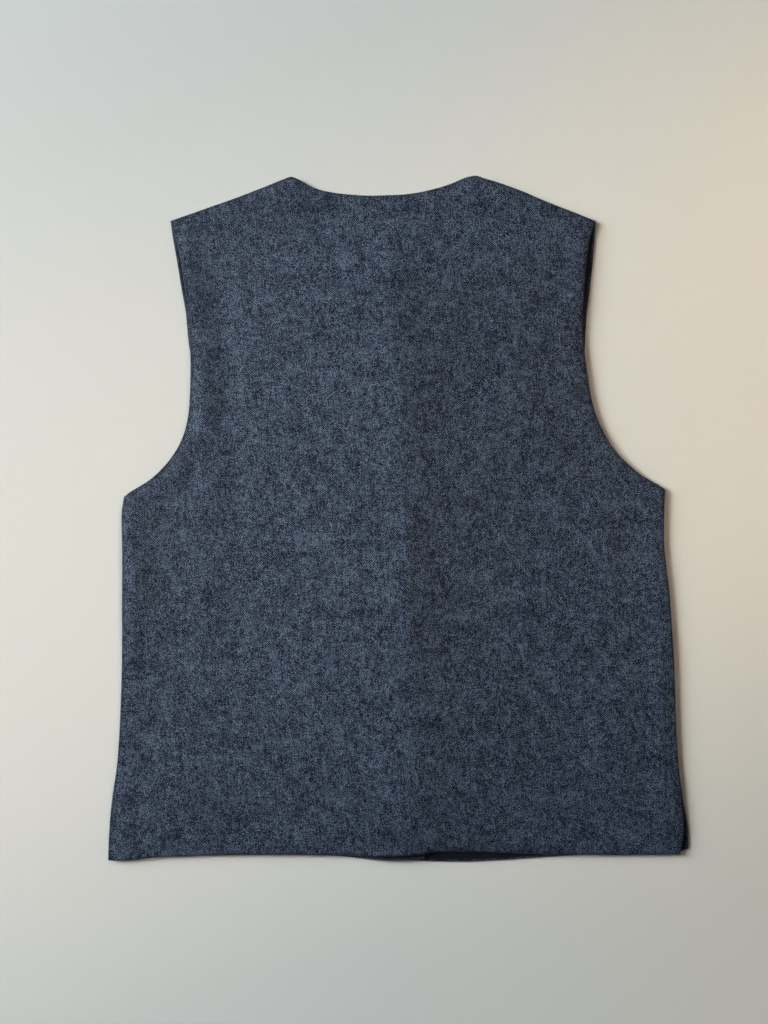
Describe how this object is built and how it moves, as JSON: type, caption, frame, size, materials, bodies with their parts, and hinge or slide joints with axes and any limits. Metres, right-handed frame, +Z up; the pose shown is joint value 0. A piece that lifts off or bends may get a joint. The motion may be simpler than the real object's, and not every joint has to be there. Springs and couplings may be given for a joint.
{
  "type": "suit waistcoat",
  "caption": "Sleeveless suit waistcoat of dark mottled wool twill, laid flat with its back uppermost and its buttoned fronts beneath.",
  "frame": {"origin": "centre of the bounding box across and along the garment, on the surface that the garment lies on", "axes": "+Z up off the surface, +Y from the hem to the neck, +X towards the wearer's right side, seen from above with the back uppermost"},
  "size_m": [0.5345, 0.6326, 0.0154],
  "materials": {
    "back_suiting": "matte, mottled wool twill",
    "front_suiting": "matte, mottled wool twill",
    "button": "satin"
  },
  "bodies": {
    "root": {"back_panel": "back_suiting", "left_front": "front_suiting", "right_front": "front_suiting", "button_1": "button", "button_2": "button", "button_3": "button", "button_4": "button", "button_5": "button"}
  },
  "joints": []
}
